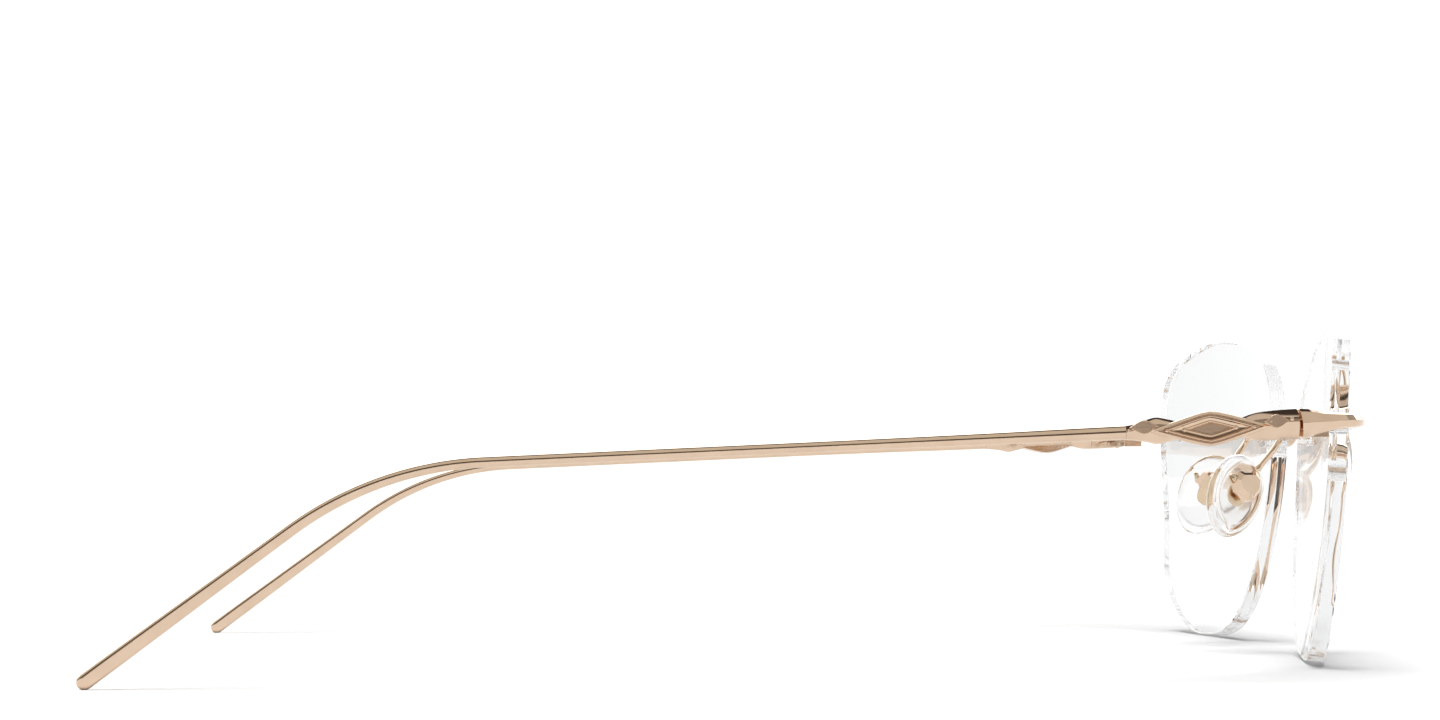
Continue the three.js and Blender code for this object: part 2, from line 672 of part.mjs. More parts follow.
const temples = { left: new THREE.Group(), right: new THREE.Group() };
const pads = { left: new THREE.Group(), right: new THREE.Group() };
glasses.add(temples.left, temples.right, pads.left, pads.right);
const onFront = { left: front, right: front };

addPair(onFront, 'lens', lens(), clearLens);
add(front, 'bridge', bridge(), champagneMetal);
addPair(onFront, 'nose_bushing', bushing(noseMount), clearPlastic);
addPair(onFront, 'temple_bushing', bushing(templeMount), clearPlastic);
addPair(onFront, 'endpiece', endpiece(), champagneMetal);
addPair(onFront, 'front_hinge_leaf', frontLeaf(), champagneMetal);
addPair(onFront, 'hinge_screw', hingeScrew(), screwMetal);
addPair(onFront, 'pad_arm', padArm(), champagneMetal);
addPair(onFront, 'pad_box', padBox(), champagneMetal);
addPair(onFront, 'pad_screw', padScrew(), screwMetal);

addPair(temples, 'temple_hinge_leaf', templeLeaf(), champagneMetal);
addPair(temples, 'temple_ornament', ornament(), champagneMetal);
addPair(temples, 'temple_wire', wire(), champagneMetal);

addPair(pads, 'pad_core', padCore(), screwMetal);
addPair(pads, 'nose_pad', nosePad(), softSilicone);

// The origin is under the middle of the open glasses.
const extent = new THREE.Box3().setFromObject(glasses);
glasses.position.y = -extent.getCenter(vec(0, 0, 0)).y;

export default glasses;
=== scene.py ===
import json
import math

import bmesh
import bpy
from mathutils import Matrix, Vector


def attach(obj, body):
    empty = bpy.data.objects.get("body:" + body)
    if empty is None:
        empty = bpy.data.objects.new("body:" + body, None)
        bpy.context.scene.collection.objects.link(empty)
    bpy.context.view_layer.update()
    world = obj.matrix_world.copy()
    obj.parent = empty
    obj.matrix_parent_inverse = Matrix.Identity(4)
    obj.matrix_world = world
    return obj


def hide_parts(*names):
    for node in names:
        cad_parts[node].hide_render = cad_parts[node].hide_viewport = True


# The looks of a pair of rimless eyeglasses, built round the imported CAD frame.
#
# Shapes are worked out in millimetres, in the part's own design frame: +X is the wearer's left,
# +Y runs back from the lenses and +Z is up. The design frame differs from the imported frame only
# by a shift along Y, which is read from the left hinge. Each paired piece is shaped on the left
# and mirrored for the right.

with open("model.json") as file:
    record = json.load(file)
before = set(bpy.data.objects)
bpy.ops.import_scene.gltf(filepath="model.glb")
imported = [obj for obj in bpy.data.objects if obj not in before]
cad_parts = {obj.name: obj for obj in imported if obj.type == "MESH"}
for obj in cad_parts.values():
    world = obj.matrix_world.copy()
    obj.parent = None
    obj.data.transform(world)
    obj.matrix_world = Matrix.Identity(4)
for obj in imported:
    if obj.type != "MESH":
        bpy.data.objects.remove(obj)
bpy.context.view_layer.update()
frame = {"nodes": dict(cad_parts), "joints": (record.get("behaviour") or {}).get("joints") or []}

# ---------------------------------------------------------------------------------------------
# Driving values: lengths in millimetres unless a name says metres, and angles in degrees
# ---------------------------------------------------------------------------------------------

MM = 0.001

# The visible lens is a little smaller than the CAD lens, so that it stays inside the CAD's box.
# Its middle is REST_FLAT lower than if it stood on its whole rim, which is cut flat at the floor.
LENS_CAD_WIDTH = 51
LENS_CAD_HEIGHT = 39.9
LENS_INSET = 0.06
LENS_WIDTH = LENS_CAD_WIDTH - LENS_INSET
LENS_HEIGHT = LENS_CAD_HEIGHT - LENS_INSET
LENS_MEAN_RADIUS = 22
LENS_THICKNESS = 2.1
LENS_CURVE_RADIUS = 150
LENS_GAP = 17
LENS_WRAP = 7.3
LENS_LEAN = 5.4
LENS_FRONT_Y = -3.2
LENS_CHAMFER = 0.13
LENS_SIDES = 224
REST_FLAT = 0.06
# Points of the outline, (across, up), before it is scaled to the lens's width and height.
LENS_SHAPE = [
    (1, 20.1), (13, 19.3), (23.2, 15.6), (25.5, 9.8), (22.6, -3.5), (19.2, -12.8), (9.5, -19),
    (-1, -20.1), (-12.5, -17.8), (-20.4, -10.8), (-25.0, 2.5), (-24.6, 10), (-15.5, 17.2),
]

# Where the endpiece and the bridge are pinned to the lens, as (across, up) from its middle.
TEMPLE_MOUNT_PLACE = (20.3, 7.6)
NOSE_MOUNT_PLACE = (-21.1, 6.5)
PIN_RADIUS = 0.42
PIN_SPACING = 3.3
PIN_STAND_OUT = 0.35
PIN_DOME = 0.16
LENS_HOLE_RADIUS = 0.85
BUSHING_FLANGE_THICKNESS = 0.4
MOUNT_GAP = 0.1
PLATE_HALF_THICKNESS = 0.43
DRILL_REACH = 5

HINGE_PIN = Vector((65.05, 8.95, 27.1))
HINGE_HALF_HEIGHT = 1.3
HINGE_BUTT_GAP = 0.15
HINGE_SCREW_RADIUS = 0.42
HINGE_SCREW_HEAD = 0.85
HINGE_SCREW_HEAD_HEIGHT = 0.35
HINGE_SCREW_HEAD_GAP = 0.08
HINGE_SCREW_STAND_OUT = 0.2
HINGE_SCREW_TURN = 35
SCREW_SLOT_HALF_WIDTH = 0.11
SCREW_SLOT_DEPTH = 0.22

# The wire's two straight runs would meet at TEMPLE_CORNER behind the hinge, and its tip lies at
# TEMPLE_REACH. TAIL_DRAFT is the share by which the tail grows wider towards its top.
TEMPLE_X = 67.7
TEMPLE_SPLAY = 0.7
TEMPLE_RUN_SLOPE = 2.25
TEMPLE_TAIL_SLOPE = 36.12
TEMPLE_CORNER = 98.6
TEMPLE_REACH = 130.9
BEND_RADIUS = 37
TAIL_DRAFT = 0.17
WIRE_GAP = 0.02
WIRE_TIP = 1.0

# Middles are distances behind the hinge.
ORNAMENT_LENGTH = 18.7
LOZENGE_MIDDLE = 9.72
LOZENGE_HALF_LENGTH = 6.75
LOZENGE_HALF_HEIGHT = 1.88
LOZENGE_FULLNESS = 0.55
SMALL_LOZENGE_UP = 0.5
SMALL_LOZENGE_HALF_HEIGHT = 0.75
REAR_LOZENGE_MIDDLE = 16.8
REAR_LOZENGE_HALF_LENGTH = 1.6
FRONT_LOZENGE_MIDDLE = 2.6
FRONT_LOZENGE_HALF_LENGTH = 1.4
FRONT_LOZENGE_LIFT = 0.47
PEARL_RADIUS = 0.23

# In the pad's frame +X points away from the nose, from the pad's face to its back.
PAD_LENGTH = 11
PAD_WIDTH = 7.6
PAD_CENTRE = Vector((9.7, 5.5, 19.1))
PAD_SPLAY = 25
PAD_TILT = 8
PAD_LEAN = 30
PAD_BACK = 1.0
PAD_FACE = -1.1
PAD_ARM_RADIUS = 0.38
PAD_SCREW_X = 2.15
PAD_SCREW_Z = 1.9
PAD_SCREW_RADIUS = 0.34
PAD_SCREW_HEAD = 0.62
PAD_SCREW_HEAD_HEIGHT = 0.4
PAD_SCREW_HEAD_LOW = 2.0
PAD_SCREW_LOW = -1.8
PAD_SCREW_TURN = 60
PAD_BOX_Y = -0.6
PAD_BOX_Z = 1.1
PAD_BOX_DEPTH = 1.6
PAD_BOX_GAP = 0.35
PAD_BOX_SLOT_HALF_HEIGHT = 0.95
SHANK_HALF = 0.45
SHANK_PLAY = 0.15

# Edges sharper than SHARP_ANGLE stay sharp, and eased pieces are bevelled from BEVEL_ANGLE on.
SHARP_ANGLE = 34
BEVEL_ANGLE = 24
BEVEL_SEGMENTS = 3
FLAT_ANGLE = 1
WELD_METRES = 1e-7
CAD_WELD_METRES = 2e-6

# Most values of a noise texture lie between NOISE_LOW and NOISE_HIGH.
NOISE_LOW = 0.3
NOISE_HIGH = 0.7
BUMP_METRES = 0.00002

FLOOR_HALF_METRES = 6.0
KEY_STRENGTH = 3.5
KEY_ANGLE = 46
CLEAR_SURROUND = 0.96
BACKDROP = 1.2
STRIP = 4.0
LIGHT_BOUNCES = 64

# Yaw turns from +X towards +Y, and pitch is downwards.
CAMERA_PLACE = Vector((-454.60, 85.616, 22.255))
CAMERA_YAW = -2.167
CAMERA_PITCH = -1.796
CAMERA_ROLL = -0.387
CAMERA_LENS = 90.81
CAMERA_SENSOR = 36
CAMERA_CLIP_METRES = 0.01

SIDES = ("left", "right")
OUTWARDS = Vector((1, 0, 0))
UPWARDS = Vector((0, 0, 1))

hinge_place = {j["name"]: Vector(j["pos_m"]) for j in frame["joints"]}["temple_left_fold"]
to_frame = Matrix.Translation((0, hinge_place.y - HINGE_PIN.y * MM, 0)) @ Matrix.Scale(MM, 4)


# ---------------------------------------------------------------------------------------------
# Shapes: a shape is a list of points and a list of faces
# ---------------------------------------------------------------------------------------------

def loft(rings):
    """A closed skin over rings that all have the same number of points."""
    count = len(rings[0])
    points = [point for ring in rings for point in ring]
    faces = []
    for start in range(0, len(points) - count, count):
        for k in range(count):
            a, b = start + k, start + (k + 1) % count
            faces.append((a, b, b + count, a + count))
    faces.append(tuple(reversed(range(count))))
    faces.append(tuple(range(len(points) - count, len(points))))
    return points, faces


def together(*shapes):
    """Several shapes as one."""
    points, faces = [], []
    for more_points, more_faces in shapes:
        faces += [tuple(i + len(points) for i in face) for face in more_faces]
        points += more_points
    return points, faces


def placed(shape, matrix):
    """A shape moved and turned by a matrix."""
    points, faces = shape
    return [matrix @ point for point in points], faces


def mirrored(shape):
    """A left shape's twin on the right."""
    points, faces = shape
    return [Vector((-p.x, p.y, p.z)) for p in points], [tuple(reversed(face)) for face in faces]


def resting(shape):
    """Flattens what would reach below the floor."""
    points, faces = shape
    return [Vector((p.x, p.y, max(p.z, 0))) for p in points], faces


def lathe(profile, sides=40):
    """A round solid about Z. The profile is a list of (radius, height)."""
    turns = [2 * math.pi * k / sides for k in range(sides)]
    rings = [[Vector((r * math.cos(t), r * math.sin(t), z)) for t in turns] for r, z in profile]
    return loft(rings)


def catmull_rom(points, share, place):
    """The centripetal Catmull-Rom point between points[1] and points[2]."""
    steps = [max((b - a).length, 1e-6) ** 0.5 for a, b in zip(points, points[1:])]
    a, b, c, d = points
    leave = (b - a) / steps[0] - (c - a) / (steps[0] + steps[1]) + (c - b) / steps[1]
    reach = (c - b) / steps[1] - (d - b) / (steps[1] + steps[2]) + (d - c) / steps[2]
    leave, reach = leave * steps[1], reach * steps[1]
    cubic = 2 * b - 2 * c + leave + reach
    square = -3 * b + 3 * c - 2 * leave - reach
    return place + leave * share + square * share ** 2 + cubic * share ** 3


def spaced(controls, count, closed=False):
    """Evenly spaced points on the smooth curve through a few points."""
    n = len(controls)
    if closed:
        guides = [controls[-1], *controls, controls[0], controls[1]]
    else:
        guides = [2 * controls[0] - controls[1], *controls, 2 * controls[-1] - controls[-2]]
    fine, per_span = [], 60
    for span in range(n if closed else n - 1):
        near = guides[span:span + 4]
        fine += [catmull_rom(near, k / per_span, near[1]) for k in range(per_span)]
    fine.append(controls[0] if closed else controls[-1])
    lengths = [0.0]
    for a, b in zip(fine, fine[1:]):
        lengths.append(lengths[-1] + (b - a).length)
    found, k = [], 0
    last = count if closed else count - 1
    for step in range(count):
        target = lengths[-1] * step / last
        while k < len(fine) - 2 and lengths[k + 1] < target:
            k += 1
        share = (target - lengths[k]) / max(lengths[k + 1] - lengths[k], 1e-9)
        found.append(fine[k].lerp(fine[k + 1], share))
    return found


def read_table(table, place):
    """Values between the rows of a table of (place, value, value...), without overshoot."""
    places = [row[0] for row in table]
    k = max(i for i, start in enumerate(places[:-1]) if start <= max(place, places[0]))
    share = min(max((place - places[k]) / (places[k + 1] - places[k]), 0), 1)

    def slope(column, row):
        if row in (0, len(table) - 1):
            return 0.0
        before = (table[row][column] - table[row - 1][column]) / (places[row] - places[row - 1])
        after = (table[row + 1][column] - table[row][column]) / (places[row + 1] - places[row])
        return 2 * before * after / (before + after) if before * after > 0 else 0.0

    values = []
    for column in range(1, len(table[0])):
        low, high = table[k][column], table[k + 1][column]
        width = places[k + 1] - places[k]
        leave, reach = slope(column, k) * width, slope(column, k + 1) * width
        s = share
        values.append(low * (2 * s ** 3 - 3 * s ** 2 + 1) + leave * (s ** 3 - 2 * s ** 2 + s)
                      + high * (3 * s ** 2 - 2 * s ** 3) + reach * (s ** 3 - s ** 2))
    return values


def oval(half_width, half_height, power, sides):
    """An oval outline; a power over 2 flattens its sides towards a soft-cornered box."""
    outline = []
    for k in range(sides):
        angle = 2 * math.pi * (k + 0.5) / sides
        c, s = math.cos(angle), math.sin(angle)
        outline.append((math.copysign(abs(c) ** (2 / power), c) * half_width,
                        math.copysign(abs(s) ** (2 / power), s) * half_height))
    return outline


def ring_at(point, across, up, outline):
    """An outline stood at a point, in the plane of two directions."""
    return [point + across * a + up * b for a, b in outline]


def swept(path, outline_at, level=True):
    """A skin along a path. Level sections stand upright; others turn with the path."""
    last = len(path) - 1
    directions = [(path[min(k + 1, last)] - path[max(k - 1, 0)]).normalized()
                  for k in range(last + 1)]
    across = directions[0].orthogonal().normalized()
    rings = []
    for k, point in enumerate(path):
        if level:
            across = Vector((directions[k].y, -directions[k].x, 0)).normalized()
        elif k:
            across = directions[k - 1].rotation_difference(directions[k]) @ across
        up = across.cross(directions[k]).normalized()
        rings.append(ring_at(point, across, up, outline_at(k / last)))
    return loft(rings)


def rounded_end(share, length, reach):
    """The share of its full size that a rounded end has: little at the very end, and all of it
    from `reach` onwards."""
    left = min(share * length, (1 - share) * length) / reach
    return 1.0 if left >= 1 else max(math.sqrt(1 - (1 - left) ** 2), 0.12)


# ---------------------------------------------------------------------------------------------
# Frames of the lens, its mounts, the temple and the nose pad
# ---------------------------------------------------------------------------------------------

def frame_at(point, turn_z, turn_x=0.0, turn_y=0.0):
    """A frame at a point, turned by degrees about X, then Y, then Z."""
    turn = (Matrix.Rotation(math.radians(turn_z), 4, "Z")
            @ Matrix.Rotation(math.radians(turn_y), 4, "Y")
            @ Matrix.Rotation(math.radians(turn_x), 4, "X"))
    return Matrix.Translation(point) @ turn


def surface_depth(across, up, radius=LENS_CURVE_RADIUS):
    """How far behind the lens vertex a point of a curved face lies."""
    return radius - math.sqrt(radius ** 2 - across ** 2 - up ** 2)


def mount_frame(across, up):
    """Origin on the lens front, +Y straight through the lens towards the back."""
    turn_z = math.degrees(math.asin(across / LENS_CURVE_RADIUS))
    turn_x = -math.degrees(math.asin(up / LENS_CURVE_RADIUS))
    return lens_frame @ frame_at(Vector((across, surface_depth(across, up), up)), turn_z, turn_x)


lean = math.radians(LENS_LEAN)
lens_half = LENS_CAD_HEIGHT / 2
lens_centre_z = (lens_half * math.cos(lean) - surface_depth(0, lens_half) * math.sin(lean)
                 - REST_FLAT)
lens_centre = Vector(((LENS_GAP + LENS_CAD_WIDTH) / 2, LENS_FRONT_Y, lens_centre_z))
lens_frame = frame_at(lens_centre, LENS_WRAP, LENS_LEAN)
temple_mount = mount_frame(*TEMPLE_MOUNT_PLACE)
nose_mount = mount_frame(*NOSE_MOUNT_PLACE)
pin_places = (-PIN_SPACING / 2, PIN_SPACING / 2)
temple_frame = frame_at(Vector((TEMPLE_X, HINGE_PIN.y, HINGE_PIN.z)), -TEMPLE_SPLAY,
                        -TEMPLE_RUN_SLOPE)
pad_frame = frame_at(PAD_CENTRE, -PAD_SPLAY, turn_y=-PAD_TILT)
pad_lean = Matrix.Rotation(math.radians(PAD_LEAN), 4, "X")
along_y = Matrix.Rotation(-math.pi / 2, 4, "X")
pad_screw_axis = pad_frame @ Matrix.Translation((PAD_SCREW_X, PAD_BOX_Y, PAD_SCREW_Z)) @ along_y


# ---------------------------------------------------------------------------------------------
# Materials
# ---------------------------------------------------------------------------------------------

class Nodes:
    """A short way to wire a material's nodes."""

    def __init__(self, name):
        self.material = bpy.data.materials.new(name)
        self.material.use_nodes = True
        self.tree = self.material.node_tree
        self.shader = self.tree.nodes["Principled BSDF"]
        self.place = self.add("ShaderNodeTexCoord").outputs["Object"]

    def add(self, kind):
        return self.tree.nodes.new(kind)

    def wire(self, source, target):
        self.tree.links.new(source, target)

    def noise(self, scale, detail=3.0, stretch=None):
        """A noise value over the piece's own place, at a scale in features per metre."""
        place = self.place
        if stretch:
            mapping = self.add("ShaderNodeMapping")
            mapping.inputs["Scale"].default_value = stretch
            self.wire(place, mapping.inputs["Vector"])
            place = mapping.outputs["Vector"]
        texture = self.add("ShaderNodeTexNoise")
        texture.inputs["Scale"].default_value = scale
        texture.inputs["Detail"].default_value = detail
        self.wire(place, texture.inputs["Vector"])
        return texture.outputs["Fac"]

    def between(self, noise, low, high):
        """Carries a noise value over to the range from low to high."""
        node = self.add("ShaderNodeMapRange")
        node.inputs["From Min"].default_value = NOISE_LOW
        node.inputs["From Max"].default_value = NOISE_HIGH
        node.inputs["To Min"].default_value = low
        node.inputs["To Max"].default_value = high
        self.wire(noise, node.inputs["Value"])
        return node.outputs["Result"]

    def tint(self, noise, dark, pale):
        """Carries a noise value over to the colours from dark to pale."""
        ramp = self.add("ShaderNodeValToRGB")
        stops = ramp.color_ramp.elements
        for stop, place, colour in zip(stops, (NOISE_LOW, NOISE_HIGH), (dark, pale)):
            stop.position = place
            stop.color = (*colour, 1)
        self.wire(noise, ramp.inputs["Fac"])
        return ramp.outputs["Color"]

    def bump(self, noise, strength):
        node = self.add("ShaderNodeBump")
        node.inputs["Strength"].default_value = strength
        node.inputs["Distance"].default_value = BUMP_METRES
        self.wire(noise, node.inputs["Height"])
        self.wire(node.outputs["Normal"], self.shader.inputs["Normal"])

    def fixed(self, **values):
        """Sets sockets of the shader that are the same all over, with _ for a space."""
        for key, value in values.items():
            self.shader.inputs[key.replace("_", " ")].default_value = value


def plated_metal(name, dark, pale, smooth, dull):
    """Polished plating: soft tint changes, handling haze and fine wiping scratches."""
    nodes = Nodes(name)
    nodes.fixed(Metallic=1.0, IOR=1.5)
    shades = nodes.tint(nodes.noise(420, detail=4), dark, pale)
    nodes.wire(shades, nodes.shader.inputs["Base Color"])
    haze = nodes.between(nodes.noise(260, detail=5), smooth, dull)
    nodes.wire(haze, nodes.shader.inputs["Roughness"])
    scratches = nodes.noise(2600, detail=2, stretch=(1, 0.06, 1))
    nodes.bump(scratches, strength=0.05)
    return nodes.material


def clear_material(name, dark, pale, ior, smooth, dull, bump_strength):
    """Clear plastic or silicone with faint smears on its surface."""
    nodes = Nodes(name)
    nodes.fixed(Metallic=0.0, IOR=ior, Transmission_Weight=1.0)
    shades = nodes.tint(nodes.noise(90), dark, pale)
    nodes.wire(shades, nodes.shader.inputs["Base Color"])
    smears = nodes.between(nodes.noise(140, detail=5, stretch=(1, 1, 0.4)), smooth, dull)
    nodes.wire(smears, nodes.shader.inputs["Roughness"])
    nodes.bump(nodes.noise(500, detail=2), bump_strength)
    return nodes.material


frame_metal = plated_metal(
    "champagne_plating", dark=(0.71, 0.535, 0.395), pale=(0.76, 0.58, 0.435),
    smooth=0.05, dull=0.10)
screw_metal = plated_metal(
    "screw_plating", dark=(0.66, 0.51, 0.34), pale=(0.76, 0.60, 0.43),
    smooth=0.08, dull=0.17)
lens_clear = clear_material(
    "lens_plastic_clear", dark=(0.938, 0.946, 0.949), pale=(0.955, 0.962, 0.965),
    ior=1.5, smooth=0.0, dull=0.012, bump_strength=0.01)
bushing_clear = clear_material(
    "bushing_plastic_clear", dark=(0.93, 0.935, 0.94), pale=(0.97, 0.975, 0.975),
    ior=1.49, smooth=0.04, dull=0.12, bump_strength=0.05)
silicone_clear = clear_material(
    "pad_silicone_clear", dark=(0.955, 0.95, 0.945), pale=(0.98, 0.978, 0.975),
    ior=1.41, smooth=0.03, dull=0.09, bump_strength=0.05)


# ---------------------------------------------------------------------------------------------
# Making pieces
# ---------------------------------------------------------------------------------------------

def make_mesh(name, shape):
    """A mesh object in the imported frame."""
    points, faces = placed(shape, to_frame)
    mesh = bpy.data.meshes.new(name)
    mesh.from_pydata([tuple(p) for p in points], [], faces)
    piece = bpy.data.objects.new(name, mesh)
    bpy.context.scene.collection.objects.link(piece)
    tidy_mesh(mesh)
    return piece


def tidy_mesh(mesh):
    """Joins doubled points, turns the faces outwards and smooths all but the sharp edges."""
    work = bmesh.new()
    work.from_mesh(mesh)
    bmesh.ops.remove_doubles(work, verts=work.verts, dist=WELD_METRES)
    bmesh.ops.recalc_face_normals(work, faces=work.faces)
    work.to_mesh(mesh)
    work.free()
    mesh.shade_smooth()
    mesh.set_sharp_from_angle(angle=math.radians(SHARP_ANGLE))


def carve(piece, cutter_shape):
    """Cuts a shape out of a piece."""
    cutter = make_mesh("cutter", cutter_shape)
    cut = piece.modifiers.new("cut", "BOOLEAN")
    cut.operation = "DIFFERENCE"
    cut.solver = "EXACT"
    cut.object = cutter
    settled = piece.evaluated_get(bpy.context.evaluated_depsgraph_get())
    mesh = bpy.data.meshes.new_from_object(settled)
    piece.modifiers.clear()
    piece.data = mesh
    bpy.data.objects.remove(cutter)
    tidy_mesh(mesh)


def ease(piece, width):
    """Rounds a piece's hard edges a little, so that they catch the light."""
    bevel = piece.modifiers.new("eased edges", "BEVEL")
    bevel.width = width * MM
    bevel.segments = BEVEL_SEGMENTS
    bevel.limit_method = "ANGLE"
    bevel.angle_limit = math.radians(BEVEL_ANGLE)
    bevel.harden_normals = True


def on_side(body, side):
    """The name of a body on one side. The front is the same body on both."""
    return body if body == "front" else f"{body}_{side}"


def settle(piece, node, body, material, slot):
    """Gives a piece its finish, and lets it stand for its CAD node on that node's body."""
    piece.data.materials.clear()
    piece.data.materials.append(material)
    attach(piece, body)
    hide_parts(node)


def add_pair(stem, shape, finish, body="front", cutter=None, edge=0.0):
    """The left piece and its mirror image, each in place of its CAD node."""
    material, slot = finish
    for side in SIDES:
        turned = shape if side == "left" else mirrored(shape)
        piece = make_mesh(f"{stem}_{side}_look", turned)
        if cutter:
            carve(piece, cutter if side == "left" else mirrored(cutter))
        if edge:
            ease(piece, edge)
        settle(piece, f"{stem}_{side}", on_side(body, side), material, slot)


def add_eased_pair(stem, finish, body="front", edge=0.06):
    """Bevelled, smooth-shaded copies of small CAD solids whose shape is right."""
    material, slot = finish
    for side in SIDES:
        node = f"{stem}_{side}"
        mesh = frame["nodes"][node].data.copy()
        piece = bpy.data.objects.new(f"{node}_look", mesh)
        bpy.context.scene.collection.objects.link(piece)
        work = bmesh.new()
        work.from_mesh(mesh)
        bmesh.ops.remove_doubles(work, verts=work.verts, dist=CAD_WELD_METRES)
        flat = math.radians(FLAT_ANGLE)
        bmesh.ops.dissolve_limit(work, angle_limit=flat, verts=work.verts, edges=work.edges)
        work.to_mesh(mesh)
        work.free()
        tidy_mesh(mesh)
        ease(piece, edge)
        settle(piece, node, on_side(body, side), material, slot)


METAL = (frame_metal, "frame_metal")
SCREW = (screw_metal, "screw_metal")
LENS = (lens_clear, "lens_plastic")
BUSHING = (bushing_clear, "bushing_plastic")
SILICONE = (silicone_clear, "pad_silicone")


# ---------------------------------------------------------------------------------------------
# Lens
# ---------------------------------------------------------------------------------------------

def lens_outline():
    """The smooth outline through the shape's points, scaled to the lens's size."""
    curve = spaced([Vector((a, 0, b)) for a, b in LENS_SHAPE], LENS_SIDES, closed=True)
    low = Vector((min(p.x for p in curve), 0, min(p.z for p in curve)))
    high = Vector((max(p.x for p in curve), 0, max(p.z for p in curve)))
    middle, size = (low + high) / 2, high - low
    return [((p.x - middle.x) * LENS_WIDTH / size.x, (p.z - middle.z) * LENS_HEIGHT / size.z)
            for p in curve]


def lens_ring(outline, share, depth_share):
    """The outline drawn in by a share, at a share of the way through the lens."""
    ring = []
    for a, b in outline:
        across, up = a * share, b * share
        front = surface_depth(across, up)
        back = LENS_THICKNESS + surface_depth(across, up, LENS_CURVE_RADIUS - LENS_THICKNESS)
        ring.append(Vector((across, front + (back - front) * depth_share, up)))
    return ring


def lens_shape():
    """Two curved faces that meet a flat edge in small chamfers."""
    outline = lens_outline()
    edge = LENS_CHAMFER / LENS_THICKNESS
    rim = 1 - LENS_CHAMFER / LENS_MEAN_RADIUS
    face = [0.02, 0.12, 0.25, 0.4, 0.55, 0.7, 0.82, 0.92, 0.98, rim]
    rings = [lens_ring(outline, share, 0) for share in face]
    rings += [lens_ring(outline, 1, share) for share in (edge, 0.35, 0.65, 1 - edge)]
    rings += [lens_ring(outline, share, 1) for share in reversed(face)]
    return resting(placed(loft(rings), lens_frame))


def lens_holes():
    """Drills for the pins of both mounts, longer than the lens is thick."""
    bar = lathe([(LENS_HOLE_RADIUS, -DRILL_REACH), (LENS_HOLE_RADIUS, DRILL_REACH)])
    drills = [placed(bar, mount @ Matrix.Translation((x, 0, 0)) @ along_y)
              for mount in (temple_mount, nose_mount) for x in pin_places]
    return together(*drills)


# ---------------------------------------------------------------------------------------------
# Bridge, pad arms and endpieces
# ---------------------------------------------------------------------------------------------

plate_middle = -MOUNT_GAP - PLATE_HALF_THICKNESS


def lens_pins(mount):
    """Two round pins with domed tips, from the plate right through the bushing."""
    tip = LENS_THICKNESS + MOUNT_GAP + BUSHING_FLANGE_THICKNESS + PIN_STAND_OUT
    dome = [(PIN_RADIUS * math.cos(t), tip - PIN_DOME + PIN_DOME * math.sin(t))
            for t in (0, 0.35, 0.7, 1.05, 1.35)]
    pin = lathe([(PIN_RADIUS, plate_middle), *dome], 28)
    return [placed(pin, mount @ Matrix.Translation((x, 0, 0)) @ along_y) for x in pin_places]


def bridge_shape():
    """An arched bar from one lens to the other, flat where it lies on them, with its pins."""
    half = [
        nose_mount @ Vector((3.0, plate_middle, 0)),
        nose_mount @ Vector((0, plate_middle, 0)),
        nose_mount @ Vector((-3.2, plate_middle - 0.05, 0.2)),
        Vector((6.6, -5.8, 27.8)),
        Vector((3.6, -6.2, 29.2)),
    ]
    other_half = [Vector((-p.x, p.y, p.z)) for p in reversed(half)]
    crown = Vector((0, -6.3, 29.8))
    path = spaced([*half, crown, *other_half], 120)
    length, end_reach = 36, 0.9
    # Rows of (share of the way, half width, half height).
    table = [
        (0, 0.40, 1.05), (0.05, 0.43, 1.15), (0.16, 0.43, 1.1), (0.3, 0.6, 0.8),
        (0.5, 0.72, 0.7), (0.7, 0.6, 0.8), (0.84, 0.43, 1.1), (0.95, 0.43, 1.15),
        (1, 0.40, 1.05),
    ]

    def section(share):
        w, h = read_table(table, share)
        drawn = rounded_end(share, length, end_reach)
        return oval(w * max(drawn, 0.45), h * drawn, 2.6, 36)

    pins = lens_pins(nose_mount)
    return together(swept(path, section), *pins, *[mirrored(pin) for pin in pins])


def pad_arm_shape():
    """The bent wire that carries a nose pad, with a swell of solder at each end."""
    box_top = pad_frame @ Vector((2.4, -1.95, 2.8))
    path = spaced([
        Vector((6.9, -4.75, 28.0)), Vector((6.6, -2.5, 28.6)), Vector((7.4, -1.0, 28.5)),
        Vector((9.6, -0.5, 27.4)), Vector((11.2, 0.3, 25.6)), box_top,
    ], 90)
    length, end_reach = 14, 0.25
    # Rows of (share of the way, radius).
    table = [(0, 0.47), (0.06, PAD_ARM_RADIUS), (0.93, PAD_ARM_RADIUS), (1, 0.5)]

    def section(share):
        radius = read_table(table, share)[0] * rounded_end(share, length, end_reach)
        return oval(radius, radius, 2, 24)

    return swept(path, section, level=False)


def endpiece_section(w, h):
    """Two flat outer facets that meet in a crisp line, and a rounded inner side."""
    return [
        (-w, 0.05 * h), (-0.8 * w, -0.7 * h), (-0.5 * w, -0.92 * h), (0, -h), (0.5 * w, -0.88 * h),
        (0.9 * w, -0.45 * h), (w, 0), (0.9 * w, 0.45 * h), (0.5 * w, 0.9 * h), (-0.1 * w, h),
        (-0.5 * w, 0.8 * h),
    ]


